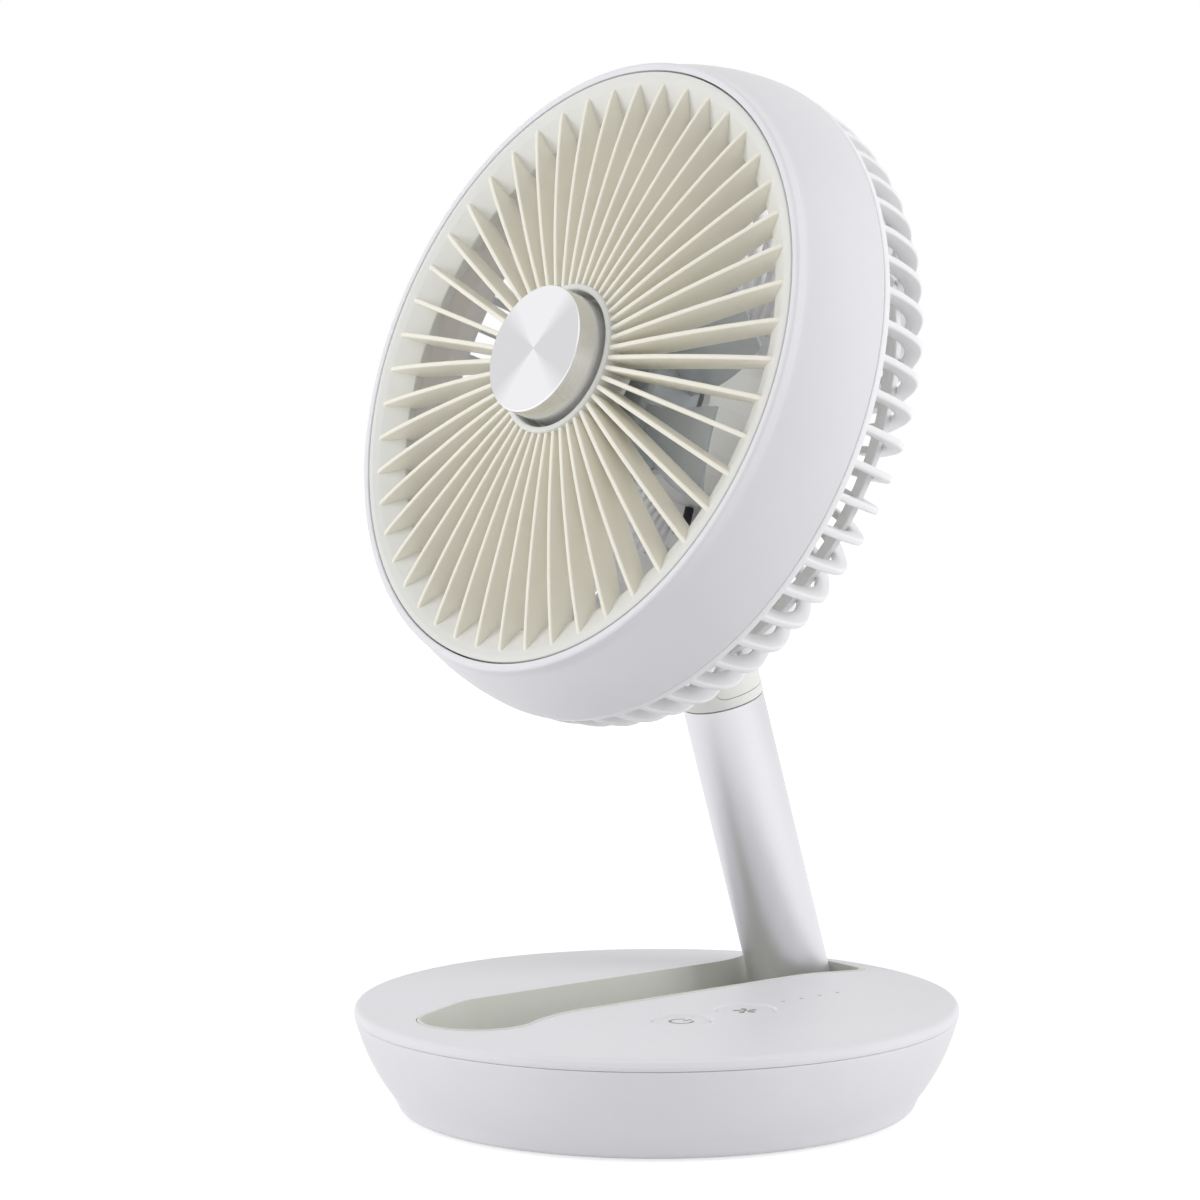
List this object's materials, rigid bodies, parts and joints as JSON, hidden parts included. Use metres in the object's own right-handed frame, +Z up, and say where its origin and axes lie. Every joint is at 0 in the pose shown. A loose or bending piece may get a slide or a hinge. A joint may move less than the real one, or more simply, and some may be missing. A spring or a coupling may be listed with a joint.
{
  "type": "cordless desk fan",
  "caption": "Cordless desk fan: round base with an arm channel and two buttons, a folding tube arm, and a tilting round head with a radial front grille and a ribbed rear guard.",
  "frame": {"origin": "centre of the base's underside, on the surface it stands on", "axes": "+Z up, -Y the way the head blows, +X to the side of the buttons"},
  "size_m": [0.2314, 0.21, 0.36],
  "materials": {
    "rubber": "matte blue-grey rubber",
    "white": "fine matt moulded white with a faint cool tint",
    "cream": "satin moulded cream white",
    "liner": "matt moulded warm grey-white",
    "guard": "satin moulded white",
    "cap": "matt moulded warm white",
    "button": "matt white with a printed grey-brown sign",
    "tube": "satin anodised aluminium",
    "aluminium": "spun aluminium with fine lathe rings",
    "lens": "clear",
    "board": "solder mask",
    "black": "matte black",
    "cell": "sleeved",
    "steel": "plain",
    "blade": "translucent smoky"
  },
  "bodies": {
    "base": {"non_slip_pad": "rubber", "base_bowl": "white", "base_lid": "white", "channel_liner": "liner", "light_guide": "lens", "control_board": "board", "battery_holder": "black", "battery_cell_1": "cell", "battery_cell_2": "cell", "ballast_plate": "steel", "charge_socket": "steel", "charge_board": "board", "hinge_bracket": "steel", "lower_hinge_pin": "steel", "friction_washer_left": "black", "friction_washer_right": "black"},
    "arm": {"arm_foot": "cap", "arm_tube": "tube", "arm_cap": "cap", "cap_cover_left": "cap", "cap_cover_right": "cap", "upper_hinge_pin": "steel"},
    "head": {"neck": "cap", "rear_guard": "guard", "barrel": "white", "front_grille": "cream", "hub_cap": "aluminium", "motor_case": "cap", "motor_lead": "black", "lead_clip": "guard"},
    "fan_rotor": {"rotor": "blade", "motor_shaft": "steel"},
    "power_key": {"power_button": "button"},
    "speed_key": {"speed_button": "button"}
  },
  "joints": [
    {"name": "arm_fold", "type": "hinge", "parent": "base", "child": "arm", "pos_m": [-0.0215, 0.0823, 0.0154], "axis": [1, 0, 0], "range_deg": [0, 72.75]},
    {"name": "head_tilt", "type": "hinge", "parent": "arm", "child": "head", "pos_m": [-0.0215, 0.03442, 0.15931], "axis": [1, 0, 0], "range_deg": [-143.41, 0]},
    {"name": "fan_spin", "type": "hinge", "parent": "head", "child": "fan_rotor", "pos_m": [0, -0.0374, 0.25801], "axis": [0, -0.9436, 0.3312], "continuous": true},
    {"name": "power_press", "type": "slide", "parent": "base", "child": "power_key", "axis": [0, 0, -1], "range_m": [0, 0.0008], "stiffness_N_per_m": 500},
    {"name": "speed_press", "type": "slide", "parent": "base", "child": "speed_key", "axis": [0, 0, -1], "range_m": [0, 0.0008], "stiffness_N_per_m": 500}
  ],
  "couplings": [
    {"joint": "head_tilt", "follows": "arm_fold", "ratio": -1.9712}
  ]
}
